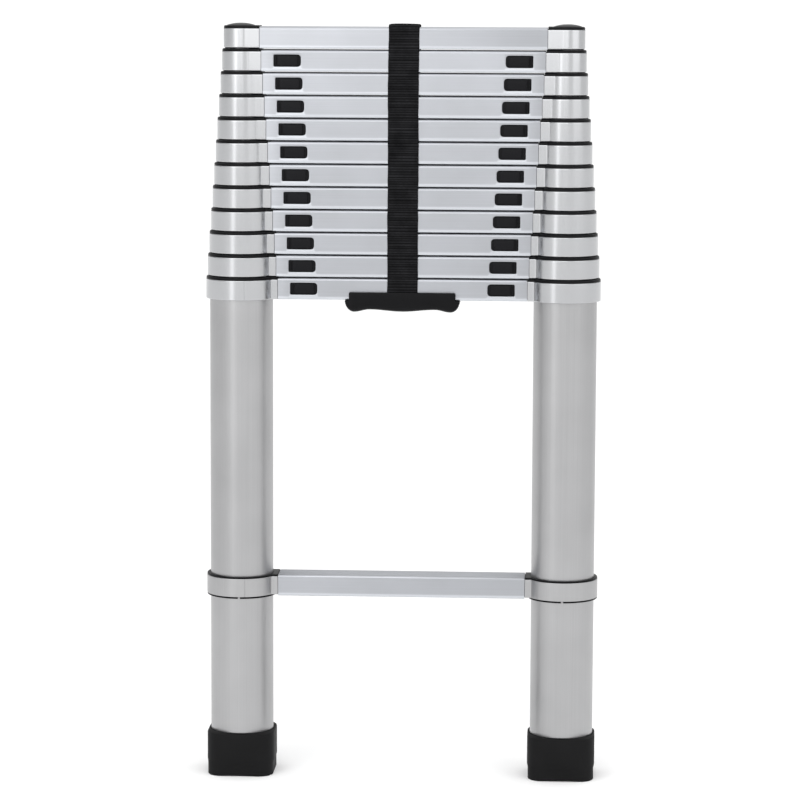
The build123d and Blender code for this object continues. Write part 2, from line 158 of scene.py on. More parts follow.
def add_node(material, kind, inputs=None, **settings):
    """Adds a shader node of the given kind to a material: settings are its properties, and inputs
    gives each socket, by name or number, a value or the output that it is linked to."""
    tree = material.node_tree
    node = tree.nodes.new("ShaderNode" + kind)
    for key, value in settings.items():
        setattr(node, key, value)
    for socket, value in (inputs or {}).items():
        if isinstance(value, bpy.types.NodeSocket):
            tree.links.new(value, node.inputs[socket])
        else:
            node.inputs[socket].default_value = value
    return node


def new_material(name):
    material = bpy.data.materials.new(name)
    material.use_nodes = True
    material.node_tree.nodes.clear()
    return material


def anodised_aluminium(name, light, dark, grain, roughness, bump_depth, edge=None):
    """Satin anodised aluminium. Die lines run the way it was drawn: a noise stretched along them
    gives a few lighter and darker streaks and a fine brushed bump. A broad noise clouds the dye layer.
    grain is the noise scale, per metre, along X, Y and Z. edge is the colour of a painted highlight
    on corners, laid where the mesh's edge highlight attribute is 1."""
    material = new_material(name)
    place = add_node(material, "TexCoord").outputs["Object"]
    along = add_node(material, "Mapping", {"Vector": place, "Scale": grain}).outputs[0]
    lines = add_node(material, "TexNoise", {"Vector": along, "Scale": 1.0, "Detail": 3.0, "Roughness": 0.6})
    clouds = add_node(material, "TexNoise", {"Vector": place, "Scale": 14.0, "Detail": 2.0})
    mixed = add_node(material, "Math", {0: lines.outputs[0], 1: clouds.outputs[0]}, operation="ADD")
    shade = add_node(material, "MapRange",
                     {"Value": mixed.outputs[0], "From Min": 0.7, "From Max": 1.3, "To Min": 0.0,
                      "To Max": 1.0})
    colour = add_node(material, "Mix", {"Factor": shade.outputs[0], 6: linear(dark), 7: linear(light)},
                      data_type="RGBA")
    # painted highlight: the colour turns to edge where the lower front edge would catch the light
    if edge:
        painted_highlight_mask = add_node(material, "Attribute", attribute_name="painted_edge_highlight").outputs["Fac"]
        colour = add_node(material, "Mix", {"Factor": painted_highlight_mask, 6: colour.outputs[2], 7: linear(edge)},
                          data_type="RGBA")
    rough = add_node(material, "MapRange",
                     {"Value": lines.outputs[0], "From Min": 0.3, "From Max": 0.7,
                      "To Min": roughness - 0.02, "To Max": roughness + 0.02})
    bump = add_node(material, "Bump", {"Height": lines.outputs[0], "Distance": bump_depth, "Strength": 0.5})
    shader = add_node(material, "BsdfPrincipled",
                      {"Base Color": colour.outputs[2], "Metallic": 1.0, "Roughness": rough.outputs[0],
                       "Normal": bump.outputs[0]})
    add_node(material, "OutputMaterial", {"Surface": shader.outputs[0]})
    return material


# the tubes: die lines about 0.6 mm apart and a few hundred long, which streak the satin lengthwise
drawn_tube = anodised_aluminium("drawn_anodised_tube", "#B0B0B1", "#A7A7A8", (1600, 1600, 3), 0.37,
                                0.007 * mm)

for n in range(1, section_count + 1):
    names = node_names(n, ("bottom_tubes",), "frame", ("top_tubes",))
    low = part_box(names[0])[0].z
    high = tube_box[1].z + (n - 1) * rung_pitch
    outer, inner = tube_radius(n), tube_radius(n) - tube_wall
    hold = sawn_edge + edge_hold
    wall = np.vstack((arc((outer - sawn_edge, low + sawn_edge), sawn_edge, -90, 0, 3),
                      [(outer, low + hold), (outer, high - hold)],
                      arc((outer - sawn_edge, high - sawn_edge), sawn_edge, 0, 90, 3),
                      arc((inner + sawn_edge, high - sawn_edge), sawn_edge, 90, 180, 3),
                      [(inner, high - hold), (inner, low + hold)],
                      arc((inner + sawn_edge, low + sawn_edge), sawn_edge, 180, 270, 3)))
    tubes = mirrored([surface(turned(wall, -stile_x), close_rows=True, close_columns=True)])
    make_piece(f"stile_tubes_{n:02d}", tubes, drawn_tube, body_name(n), names)

# --- Collar bands --------------------------------------------------------------------------------
# A strip of 1.5 mm aluminium is rolled to a keyhole: a ring round the stile and a short straight neck
# towards the rung. Its edges are rolled over, and it is pressed on its black bush.
bush_wall = 3 * mm
band_wall = 1.5 * mm
neck_reach = 2.7 * mm
root_round = 2.5 * mm
band_edge = 0.7 * mm
band_drop = 2.2 * mm
band_reveal = 0.8 * mm
seam_reach, seam_width, seam_depth = 1.2, 0.4, 0.35 * mm
rung_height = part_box("lower_rung")[1].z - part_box("lower_rung")[0].z
half_depth = (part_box("lower_rung")[1].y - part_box("lower_rung")[0].y) / 2


def collar_radius(n):
    return tube_radius(n) + bush_wall + band_wall


def rung_end(n):
    """From a stile's axis to the end of section n's rung."""
    return collar_radius(n) + neck_reach


def rung_bottom(n):
    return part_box("bottom_rung")[0].z + (n - 1) * rung_pitch


def keyhole(radius, half, end, inset=0.0, seam=None):
    """The open outline of a collar seen from above, from the neck's rear end round the ring to its
    front end. The ring is an arc about the stile; the neck's sides are lines at +half and -half;
    between them lies a concave arc of radius root_round. inset moves it all inwards. seam is the
    angle of a narrow butt joint, a notch in the outline shaped like a bell curve (all in degrees)."""
    reach = radius + root_round
    rise = half + root_round
    root_x = math.sqrt(reach ** 2 - rise ** 2)
    lean = math.degrees(math.atan2(rise, root_x))
    side = np.stack((np.linspace(end, root_x, 5)[:-1], np.full(4, half - inset)), -1)
    root = arc((root_x, rise), root_round + inset, 270, 180 + lean, 8)[:-1]
    angles = np.linspace(lean, 360 - lean, 97)
    if seam is not None:
        near = seam + np.linspace(-seam_reach, seam_reach, 13)
        angles = np.sort(np.concatenate((angles[np.abs(angles - seam) > seam_reach + 0.1], near)))
    depth = 0 * angles if seam is None else seam_depth * np.exp(-((angles - seam) / seam_width) ** 2)
    turn = np.radians(angles)
    ring = (radius - inset - depth)[:, None] * np.stack((np.cos(turn), np.sin(turn)), -1)
    flip = np.array((1, -1))
    return np.vstack((side, root, ring, (root * flip)[::-1], (side * flip)[::-1]))


def collar_band(n, low, high, seam=None):
    """A keyhole strip: the wall's section, a rectangle with rounded outer corners, carried along the
    outline."""
    hold = band_edge + edge_hold
    section = np.vstack((arc((band_edge, low + band_edge), band_edge, 270, 180, 4),
                         [(0, low + hold), (0, high - hold)],
                         arc((band_edge, high - band_edge), band_edge, 180, 90, 4),
                         [(band_wall, high), (band_wall, low)]))
    rows = [keyhole(collar_radius(n), half_depth, rung_end(n), inset, seam) for inset, _ in section]
    points = np.stack([np.column_stack((row, np.full(len(row), z))) for row, (_, z) in zip(rows, section)])
    points = points + (-stile_x, 0, 0)
    return [surface(points, close_rows=True), cover(points[:, 0]), cover(points[:, -1])]


# the bands: a smoother, lighter satin with faint streaks, so the lights stay soft but clear in it
rolled_band = anodised_aluminium("rolled_anodised_band", "#BEBFC1", "#B8B9BB", (700, 700, 20), 0.24,
                                 0.0006 * mm)

seam_angle = 280.0


def band_pair(n, low, high, seam=None):
    """Both stiles' bands. Only the left one's butt joint faces the front."""
    return collar_band(n, low, high, seam) + mirrored(collar_band(n, low, high))[3:]


for n in range(1, section_count + 1):
    names = node_names(n, ("bottom_bands",), "frame", ("top_bands",))
    low = rung_bottom(n) + (band_reveal if n > 1 else 0)
    bands = band_pair(n, low, rung_bottom(n) + rung_height - band_drop, seam_angle if n == 1 else None)
    make_piece(f"collar_bands_{n:02d}", bands, rolled_band, body_name(n), names)

# --- Rungs ---------------------------------------------------------------------------------------
# Each rung is a rectangular aluminium extrusion with rounded edges and a grooved tread, sawn to
# length. The eleven that lock have two slots milled in the front for the thumb buttons.
rung_wall = 1.5 * mm
rung_corner = 3 * mm
joint_gap = 0.4 * mm
slot_start = 15.4 * mm
slot_size = (33 * mm, 14.6 * mm)
slot_corners = (1.5 * mm, 4 * mm)
slot_margin = 1.5 * mm
mill_edge, mill_share = 0.35 * mm, 0.3
front_ease = 1.1 * mm
# how high the painted highlight on the rung's lower front edge reaches, and over what height it fades out
highlight_height, highlight_fade = 3.7 * mm, 0.7 * mm
groove_count = 9
groove_pitch = 3.2 * mm
groove_depth = 0.35 * mm
groove_top, groove_foot = 0.32, 0.2


def eased(steps):
    """Numbers from 0 to 1, closer together at both ends, as half a cosine wave."""
    return (1 - np.cos(np.linspace(0, math.pi, steps + 1))) / 2


def frame_loop(x0, x1, z0, z1, corners=(0, 0), across=18, up=10):
    """A closed loop round a rectangle, as (x, z). A point within corners' radius of a corner is moved
    on to its arc. corners gives the radius at x0's end and at x1's."""
    u, v = eased(across)[:-1], eased(up)[:-1]
    x = x0 + (x1 - x0) * np.concatenate((u, 1 + 0 * v, 1 - u, 0 * v))
    z = z0 + (z1 - z0) * np.concatenate((0 * u, v, 1 + 0 * u, 1 - v))
    radius = np.where(x < (x0 + x1) / 2, corners[0], corners[1])
    cx = np.clip(x, x0 + radius, x1 - radius)
    cz = np.clip(z, z0 + radius, z1 - radius)
    away = np.hypot(x - cx, z - cz)
    near = (np.abs(x - cx) > 1e-9) & (np.abs(z - cz) > 1e-9)
    pull = np.where(near, radius / np.maximum(away, 1e-9), 1)
    return np.stack((cx + (x - cx) * pull, cz + (z - cz) * pull), -1)


def rung_skin(bottom, half_length, inset, slots, opened):
    """One skin of a rung, outer or inner: a strip carried along X round the bottom, rear and top, and
    a flat front. The corners are quarter circles, but the lower front one is a quarter ellipse, as
    high as the circles and only front_ease deep. Round each slot the front is a ring of quads from
    a rectangle to the slot's outline. Returns the surfaces, the end loop and the slots' loops."""
    y1, z0, z1 = half_depth - inset, bottom + inset, bottom + rung_height - inset
    round_ = rung_corner - inset
    front_low, front_high = bottom + rung_corner, bottom + rung_height - rung_corner
    tread = np.empty((0, 2))
    if inset < rung_wall:
        middles = (np.arange(groove_count) - (groove_count - 1) / 2)[::-1] * groove_pitch
        shape = np.array(((groove_top, 0), (groove_foot, -1), (-groove_foot, -1), (-groove_top, 0)))
        tread = np.concatenate([np.column_stack((m + shape[:, 0] * groove_pitch,
                                                 z1 + shape[:, 1] * groove_depth)) for m in middles])
    ease = np.array((max(front_ease - inset, 0.3 * mm), round_))
    path = np.vstack((arc((0, 0), 1, 180, 270, 7) * ease + (-y1 + ease[0], z0 + round_),
                      arc((y1 - round_, z0 + round_), round_, 270, 360, 5),
                      arc((y1 - round_, z1 - round_), round_, 0, 90, 5), tread,
                      arc((-y1 + round_, z1 - round_), round_, 90, 180, 7)))
    path[0, 1], path[-1, 1] = front_low, front_high
    edges = [(s0 - slot_margin, s1 + slot_margin) for s0, s1 in slots]
    stations = [-half_length]
    for e0, e1 in edges:
        stations += list(e0 + (e1 - e0) * eased(18))
    stations = np.array(stations + [half_length])
    strip = np.stack([np.column_stack((np.full(len(path), x), path)) for x in stations])
    heights = front_low + (front_high - front_low) * eased(10)
    flats, start = [], -half_length
    for e0, e1 in edges + [(half_length, None)]:
        flats.append(np.stack([np.column_stack((np.full(11, x), np.full(11, -y1),
                                                heights)) for x in (start, e0)]))
        start = e1
    skins, loops = [surface(strip)] + [surface(flat) for flat in flats], []
    for (e0, e1), (s0, s1) in zip(edges, slots):
        corners = slot_corners if s0 + s1 < 0 else slot_corners[::-1]
        middle = bottom + rung_height / 2
        hole = frame_loop(s0 - opened, s1 + opened, middle - slot_size[1] / 2 - opened,
                          middle + slot_size[1] / 2 + opened, np.array(corners) + opened)
        both = np.stack((frame_loop(e0, e1, front_low, front_high), hole))
        skins.append(surface(np.insert(both, 1, -y1, axis=2), close_columns=True))
        loops.append(skins[-1][0].reshape(2, -1, 3)[1])
    front = np.column_stack((np.full(9, 0.0), np.full(9, -y1), heights[1:-1]))[::-1]
    end = np.vstack((np.insert(path, 0, 0, axis=1), front))
    return skins, end, loops


def vertex_places(piece):
    """The places of a piece's vertices, as rows of x, y and z."""
    places = np.empty(len(piece.data.vertices) * 3)
    piece.data.vertices.foreach_get("co", places)
    return places.reshape(-1, 3)


def add_attribute(piece, name, values):
    attribute = piece.data.attributes.new(name, "FLOAT", "POINT")
    attribute.data.foreach_set("value", values.astype(np.float32))


def make_rung(name, n, bottom, slots, body, nodes):
    """The outer and inner skins, joined round the slots and the sawn ends by small rounded edges."""
    half_length = stile_x - rung_end(n) - joint_gap
    outer, end_outer, rims_outer = rung_skin(bottom, half_length - mill_edge, 0, slots, mill_edge)
    inner, end_inner, rims_inner = rung_skin(bottom, half_length, rung_wall, slots, 0)
    parts = outer + inner
    end_middle = bottom + rung_height / 2
    squeeze = np.array((1, 1 - mill_edge / half_depth, 1 - 2 * mill_edge / rung_height))
    for side in (-1, 1):
        along = np.array((side, 0, 0))
        rim = (end_outer - (0, 0, end_middle)) * squeeze + (0, 0, end_middle)
        soft = end_outer * (1 - mill_share) + rim * mill_share
        rows = [end_outer + along * (half_length - mill_edge),
                soft + along * (half_length - mill_share * mill_edge),
                rim + along * half_length]
        parts.append(surface(np.stack(rows), close_columns=True))
        parts.append(ring_between(rim + along * half_length, end_inner + along * half_length))
    for outer_rim, inner_rim in zip(rims_outer, rims_inner):
        soft = outer_rim * mill_share + inner_rim * (1 - mill_share)
        soft[:, 1] = -half_depth + mill_share * mill_edge
        edge = inner_rim.copy()
        edge[:, 1] = -half_depth + mill_edge
        parts.append(surface(np.stack((outer_rim, soft, edge, inner_rim)), close_columns=True))
    rung = make_piece(name, parts, extruded_rung, body, nodes)
    _, y, z = vertex_places(rung).T
    # painted highlight along the lower front edge: 1 at the bottom of the front face, fading out upwards
    painted_edge_highlight = np.clip((highlight_height - z + bottom) / highlight_fade, 0, 1) * (y < -half_depth + front_ease)
    add_attribute(rung, "painted_edge_highlight", painted_edge_highlight)


def ring_between(outer, inner):
    """Faces between two closed loops round the same middle that have different numbers of points: each
    outer point is joined to the inner point at the same share of the way round."""
    nearest = np.argmin(np.linalg.norm(outer[:, None] - inner[None], axis=2), axis=1)
    share = np.maximum.accumulate(np.unwrap(nearest * 2 * math.pi / len(inner))) * len(inner) / (2 * math.pi)
    share = np.round(share).astype(int) % len(inner)
    count = len(outer)
    here, after = np.arange(count), (np.arange(count) + 1) % count
    faces = np.stack((here, after, count + share[after], count + share), -1)
    return np.vstack((outer, inner)), faces


# the rungs: die lines run along them, and a painted highlight lightens the lower front edge
extruded_rung = anodised_aluminium("extruded_anodised_rung", "#AFB1B6", "#A6A8AC", (4, 1500, 1500),
                                   0.38, 0.006 * mm, edge="#C6C9CE")

for n in range(1, section_count + 1):
    slot_x = -stile_x + rung_end(n) + slot_start
    slots = [(slot_x, slot_x + slot_size[0]), (-slot_x - slot_size[0], -slot_x)]
    slots = slots if n < section_count else []
    make_rung(f"rung_{n:02d}", n, rung_bottom(n), slots, body_name(n),
              node_names(n, ("bottom_rung",), "frame", ("top_rung",)))

# --- Bushes --------------------------------------------------------------------------------------
# One black glass-filled nylon moulding per collar: a keyhole body inside the band, a bevelled flange
# above it that guides the next tube, and a tongue in the rung with the latch's housing behind it.
flange_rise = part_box("bottom_bushes")[1].z - rung_bottom(1) - rung_height
flange_inset = 0.3 * mm
flange_side = 1.5 * mm
flange_bevel = 1.9 * mm
press_fit = 0.05 * mm
guide_gap = 0.3 * mm
lead = 0.4 * mm
cap_seat = 3 * mm
tongue_length = 10 * mm
pin_bore = 5.4 * mm
housing_length = 74 * mm
housing_wall, wall_half = 4 * mm, 15 * mm
tray_thickness, tray_half = 2 * mm, 9 * mm


def keyhole_loop(n, inset, shorten=0.0):
    """The keyhole closed across the neck's end by a straight row of points."""
    outline = keyhole(collar_radius(n), half_depth, rung_end(n) - shorten, inset)
    across = np.linspace(outline[-1], outline[0], 14)[1:-1]
    return np.vstack((outline, across))


def ring_loop(outline, radius):
    """A circle about the stile whose points lie in the same directions as the outline's points."""
    return outline / np.linalg.norm(outline, axis=1)[:, None] * radius


def stack(loops):
    """Outlines at their heights, as rows of points by the left stile."""
    rows = [np.column_stack((loop, np.full(len(loop), z))) for loop, z in loops]
    return np.stack(rows) + (-stile_x, 0, 0)


def bush_body(n, low, body_top, flange_top, side, bevel, bore):
    """Closed outlines from the body's foot up its outside, over the flange and down its bore. The
    flange's upper edge is a quarter ellipse, bevel wide."""
    body = keyhole_loop(n, band_wall + press_fit)
    rim = keyhole_loop(n, flange_inset, flange_inset)
    top = [(keyhole_loop(n, flange_inset + bevel * (1 + x), flange_inset),
            body_top + side + (flange_top - body_top - side) * z) for x, z in arc((0, 0), 1, 180, 90, 5)]
    guide = ring_loop(body, bore)
    grip = ring_loop(body, tube_radius(n) + press_fit)
    loops = [(body, low), (body, body_top), (rim, body_top)] + top
    loops += [(ring_loop(body, bore + lead), flange_top), (guide, flange_top - lead), (guide, body_top),
              (grip, body_top), (grip, low)]
    return surface(stack(loops), close_rows=True, close_columns=True)


def block(low, high, corner, edge, axis=1, across=6, up=6, steps=3):
    """A block between two corner points. Its outlines, across axis, have rounded corners, and towards
    both ends they shrink along a quarter circle of radius edge."""
    low, high = np.array(low), np.array(high)
    first, second = [a for a in range(3) if a != axis]
    t = np.radians(np.linspace(0, 90, steps + 1))
    insets = edge * np.concatenate((1 - np.sin(t), (1 - np.sin(t))[::-1]))
    places = np.concatenate((low[axis] + edge * (1 - np.cos(t)), high[axis] - edge * (1 - np.cos(t))[::-1]))
    rows = []
    for inset, place in zip(insets, places):
        loop = frame_loop(low[first] + inset, high[first] - inset,
                          low[second] + inset, high[second] - inset,
                          (max(corner - inset, 0.01 * mm),) * 2, across, up)
        rows.append(np.insert(loop, axis, place, axis=1))
    rows = np.stack(rows)
    return [surface(rows, close_columns=True), cover(rows[0]), cover(rows[-1])]


def tongue(n, bottom, bore):
    """The tongue in the rung's end: rounded outlines along X, with a round bore for the pin."""
    clear = rung_wall + press_fit
    start, middle = -stile_x + rung_end(n), bottom + rung_height / 2
    if not bore:
        return block((start, -half_depth + clear, bottom + clear),
                     (start + tongue_length, half_depth - clear, bottom + rung_height - clear), 1.5 * mm,
                     0.2 * mm, 0)
    outline = frame_loop(-half_depth + clear, half_depth - clear,
                         clear - rung_height / 2, rung_height / 2 - clear,
                         (1.5 * mm, 1.5 * mm), 10, 8)
    hole = ring_loop(outline, bore)
    rows = [(outline, start), (outline, start + tongue_length), (hole, start + tongue_length),
            (hole, start)]
    points = np.stack([np.insert(loop, 0, x, axis=1) for loop, x in rows]) + (0, 0, middle)
    return [surface(points, close_rows=True, close_columns=True)]


def moulded_nylon(name, hex_colour, roughness, grain_size, grain_depth, gloss=0.12):
    """Black glass-filled nylon from a spark-eroded mould: a fine even grain in the bump, and a
    slightly duller or brighter skin where the fill flowed."""
    material = new_material(name)
    place = add_node(material, "TexCoord").outputs["Object"]
    grain = add_node(material, "TexNoise", {"Vector": place, "Scale": 1 / grain_size, "Detail": 2.0})
    flow = add_node(material, "TexNoise", {"Vector": place, "Scale": 45.0, "Detail": 3.0})
    rough = add_node(material, "MapRange",
                     {"Value": flow.outputs[0], "From Min": 0.3, "From Max": 0.7,
                      "To Min": roughness - 0.05, "To Max": roughness + 0.06})
    base = linear(hex_colour)
    colour = add_node(material, "Mix",
                      {"Factor": flow.outputs[0], 6: [c * 0.8 for c in base[:3]] + [1],
                       7: [c * 1.25 for c in base[:3]] + [1]}, data_type="RGBA")
    bump = add_node(material, "Bump", {"Height": grain.outputs[0], "Distance": grain_depth,
                                       "Strength": 0.6})
    shader = add_node(material, "BsdfPrincipled",
                      {"Base Color": colour.outputs[2], "Roughness": rough.outputs[0], "IOR": 1.5,
                       "Specular IOR Level": gloss, "Normal": bump.outputs[0]})
    add_node(material, "OutputMaterial", {"Surface": shader.outputs[0]})
    return material


# the bushes: black with a fine even grain, hardly any gloss
bush_nylon = moulded_nylon("moulded_nylon", "#08080A", 0.34, 0.5 * mm, 0.015 * mm)
glide_gap, glide_bevel, glide_height = 0.3 * mm, 0.3 * mm, 4 * mm
plug_height, plug_wall, plug_vent, plug_floor = 14 * mm, 3.45 * mm, 2.5 * mm, 2.5 * mm

for n in range(1, section_count + 1):
    names = node_names(n, ("bottom_bushes",), "bushes", ("top_bushes",))
    low, body_top = rung_bottom(n), rung_bottom(n) + rung_height - band_drop
    flange_top = rung_bottom(n) + rung_height + flange_rise
    bore = tube_radius(n + 1) + guide_gap if n < section_count else tube_radius(n) - cap_seat
    parts = [bush_body(n, low, body_top, flange_top, flange_side, flange_bevel, bore)]
    parts += tongue(n, low, pin_bore if n < section_count else 0)
    middle = low + rung_height / 2
    if n < section_count:
        end = -stile_x + rung_end(n)
        inside = rung_height / 2 - rung_wall - press_fit
        parts += block((end + tongue_length, -tray_half, middle - inside),
                       (end + housing_length, tray_half, middle - inside + tray_thickness),
                       0.3 * mm, 0.2 * mm, 0)
        parts += block((end + housing_length - housing_wall, -wall_half, middle - inside),
                       (end + housing_length, wall_half, middle + inside), 1 * mm, 0.3 * mm, 0)
    if n > 1:
        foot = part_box(names[0])[0].z
        glide, spigot = tube_radius(n) + glide_gap, tube_radius(n) - tube_wall - press_fit
        plug = np.array(((plug_vent, 0), (glide - glide_bevel, 0), (glide, glide_bevel),
                         (glide, glide_height - glide_bevel), (glide - glide_bevel, glide_height),
                         (spigot, glide_height), (spigot, plug_height), (spigot - plug_wall, plug_height),
                         (spigot - plug_wall, plug_floor), (plug_vent, plug_floor))) + (0, foot)
        parts.append(surface(turned(plug, -stile_x), close_rows=True, close_columns=True))
    make_piece(f"collar_bushes_{n:02d}", mirrored(parts), bush_nylon, body_name(n), names)

# --- Rivets --------------------------------------------------------------------------------------
# Aluminium blind rivets, set from the rear through the rung's wall into the tongues. The head is a
# low dome with the pulled stem's dimple in its middle.
rivet_offset = 5 * mm


def rivet_pair(n, bottom):
    """The head's and shank's profile, in mm of radius and height, turned about an axis along Y."""
    dome = np.array(((0, 0.75), (0.7, 0.7), (0.95, 1.2), (1.6, 1.15), (2.4, 0.85), (3.0, 0.35), (3.2, 0),
                     (1.6, 0), (1.6, -6.9), (0, -6.9))) * mm
    points = turned(dome, 0, 0, 24)[..., [0, 2, 1]]
    return mirrored([surface(points + (-stile_x + rung_end(n) + rivet_offset, half_depth,
                                       bottom + rung_height / 2),
                             close_columns=True)])


# the rivets: tumbled, so their satin has no direction
rivet_metal = anodised_aluminium("tumbled_rivet", "#B8B9BB", "#ACADAF", (500, 500, 500), 0.38, 0.01 * mm)

for n in range(1, section_count + 1):
    make_piece(f"rung_rivets_{n:02d}", rivet_pair(n, rung_bottom(n)), rivet_metal, body_name(n),
               node_names(n, ("bottom_rung",), "frame", ("top_rung",)))

# --- Thumb latches -------------------------------------------------------------------------------
# Behind each slot runs a nylon slide with the thumb button and a thin stop ridge on its face. A steel
# pin is pressed into its block, and a steel coil spring pushes it towards the stile.
slide_plate = 2.5 * mm
slide_gap = 0.3 * mm
slide_margin = 4.4 * mm
slide_height = 18 * mm
latch_travel = frame["joints"][-1]["range_m"][1]
button_offset = 5.2 * mm
button_size = (24 * mm, 12 * mm)
button_proud = 1.2 * mm
ridge_offset = 2.2 * mm
ridge_size = (1 * mm, 12 * mm, 1.2 * mm)
block_start, block_length, block_rear = 22 * mm, 22 * mm, 7 * mm
block_clear = 2.5 * mm
pin_radius, pin_chamfer = 5 * mm, 0.6 * mm
pin_seat = 12 * mm
spring_radius, spring_length, spring_turns = 4.1 * mm, 22 * mm, 9
spring_wire = 0.5 * mm


def coil_spring(start, height):
    """A helix about the X axis with flat closed end turns: its pitch grows from and falls back to the
    wire's thickness; a circle of the wire's radius is carried along it."""
    t = np.linspace(0, 1, spring_turns * 22 + 1)
    turn = 2 * math.pi * spring_turns * t
    pace = np.clip(np.minimum(t, 1 - t) * spring_turns / 1.5, 0.35, 1)
    run = np.concatenate(([0], np.cumsum((pace[1:] + pace[:-1]) / 2)))
    x = start + spring_wire + (spring_length - 2 * spring_wire) * run / run[-1]
    centre = np.stack((x, spring_radius * np.cos(turn), height + spring_radius * np.sin(turn)), -1)
    outwards = np.stack((0 * t, np.cos(turn), np.sin(turn)), -1)
    round_ = np.linspace(0, 2 * math.pi, 8, endpoint=False)[None, :, None]
    along = np.array((1.0, 0, 0))
    points = centre[:, None] + spring_wire * (np.cos(round_) * outwards[:, None] + np.sin(round_) * along)
    return [surface(points, close_columns=True), cover(points[0]), cover(points[-1])]


button_nylon = moulded_nylon("button_nylon", "#0F0F12", 0.42, 0.45 * mm, 0.03 * mm)
# zinc plated steel: bright, with a faint warm cloud from the passivation
zinc_steel = new_material("zinc_plated_steel")
zinc_place = add_node(zinc_steel, "TexCoord").outputs["Object"]
zinc_cloud = add_node(zinc_steel, "TexNoise", {"Vector": zinc_place, "Scale": 400.0, "Detail": 3.0})
zinc_tint = add_node(zinc_steel, "Mix", {"Factor": zinc_cloud.outputs[0], 6: linear("#B9B7AE"),
                                                   7: linear("#C9C9C6")}, data_type="RGBA")
zinc_rough = add_node(zinc_steel, "MapRange",
                      {"Value": zinc_cloud.outputs[0], "To Min": 0.25, "To Max": 0.4})
zinc_shader = add_node(zinc_steel, "BsdfPrincipled",
                       {"Base Color": zinc_tint.outputs[2], "Metallic": 1.0,
                        "Roughness": zinc_rough.outputs[0]})
add_node(zinc_steel, "OutputMaterial", {"Surface": zinc_shader.outputs[0]})

for n in range(1, section_count):
    end, middle = -stile_x + rung_end(n), rung_bottom(n) + rung_height / 2
    front = -half_depth + rung_wall + slide_gap
    plate_x = end + slot_start - slide_margin
    button_x, ridge_x = end + slot_start + button_offset, end + slot_start + ridge_offset
    block_x = end + block_start
    plate_length = slot_size[0] + 2 * slide_margin + latch_travel
    block_half = rung_height / 2 - rung_wall - press_fit - block_clear
    face = front + slide_plate
    slide = block((plate_x, front, middle - slide_height / 2),
                  (plate_x + plate_length, face, middle + slide_height / 2), 1 * mm, 0.3 * mm)
    slide += block((button_x, -half_depth - button_proud, middle - button_size[1] / 2),
                   (button_x + button_size[0], front + 0.5 * mm, middle + button_size[1] / 2), 2.2 * mm,
                   0.8 * mm,
                   across=16, up=10, steps=5)
    slide += block((ridge_x, front - ridge_size[2], middle - ridge_size[1] / 2),
                   (ridge_x + ridge_size[0], front + 0.5 * mm, middle + ridge_size[1] / 2), 0.3 * mm,
                   0.3 * mm)
    slide += block((block_x, face - 0.2 * mm, middle - block_half),
                   (block_x + block_length, block_rear, middle + block_half), 1 * mm, 0.4 * mm)
    pin_start = -stile_x + tube_radius(n + 1) + slide_gap
    pin_profile = np.array(((0, pin_start), (pin_radius - pin_chamfer, pin_start),
                            (pin_radius, pin_start + pin_chamfer),
                            (pin_radius, block_x + pin_seat), (0, block_x + pin_seat)))
    pin = [surface(turned(pin_profile, 0, 0, 40)[..., [2, 1, 0]] + (0, 0, middle), close_columns=True)]
    spring = coil_spring(block_x + block_length + press_fit, middle)
    for side, sign in (("left", 1), ("right", -1)):
        body = f"latch_{n:02d}_{side}"
        for what, parts, finish, slot in (("slide", slide, button_nylon, "black_plastic"),
                                          ("pin", pin, zinc_steel, "zinc_steel"),
                                          ("spring", spring, zinc_steel, "zinc_steel")):
            sided = [(points * (sign, 1, 1), faces) for points, faces in parts]
            make_piece(f"{body}_{what}", sided, finish, body, (body,))

# --- Lower rung ----------------------------------------------------------------------------------
# A thirteenth rung that doesn't move, with the same bands and bushes, clamped round the widest
# tubes. Its bushes have no guide above; below each band a slit lip shows. These two bands keep the
# duller finish of the tubes.
lower_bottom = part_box("lower_rung")[0].z
lower_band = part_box("lower_rung_bands")
lower_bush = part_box("lower_rung_bushes")
lip_inset = 0.4 * mm
lip_slit = 2.8 * mm
lip_round = 0.25 * mm
clamp_side, clamp_bevel = 1 * mm, 0.7 * mm
make_rung("fixed_rung", 1, lower_bottom, [], "bottom_section", ("lower_rung",))
make_piece("lower_bands", band_pair(1, lower_band[0].z, lower_band[1].z, seam_angle), drawn_tube,
           "bottom_section", ("lower_rung_bands",))
make_piece("lower_rivets", rivet_pair(1, lower_bottom), rivet_metal, "bottom_section",
           ("lower_rung_rivets",))
tube_hole = tube_radius(1) + press_fit
clamp = [bush_body(1, lower_band[0].z, lower_band[1].z, lower_bush[1].z, clamp_side, clamp_bevel,
                   tube_hole)]
clamp += tongue(1, lower_bottom, 0)
slit_half = math.degrees(math.asin(lip_slit / 2 / collar_radius(1)))
lip_turn = np.radians(np.linspace(-90 + slit_half, 270 - slit_half, 121))
lip_radius = collar_radius(1) - lip_inset
lip_section = np.array(((tube_hole, lower_band[0].z), (tube_hole, lower_bush[0].z),
                        (lip_radius - lip_round, lower_bush[0].z),
                        (lip_radius, lower_bush[0].z + lip_round), (lip_radius, lower_band[0].z)))
lip = np.stack([np.stack((r * np.cos(lip_turn) - stile_x, r * np.sin(lip_turn), z + 0 * lip_turn), -1)
                for r, z in lip_section])
clamp += [surface(lip, close_rows=True), cover(lip[:, 0]), cover(lip[:, -1])]
make_piece("lower_bushes", mirrored(clamp), bush_nylon, "bottom_section",
           ("lower_rung_bushes",))

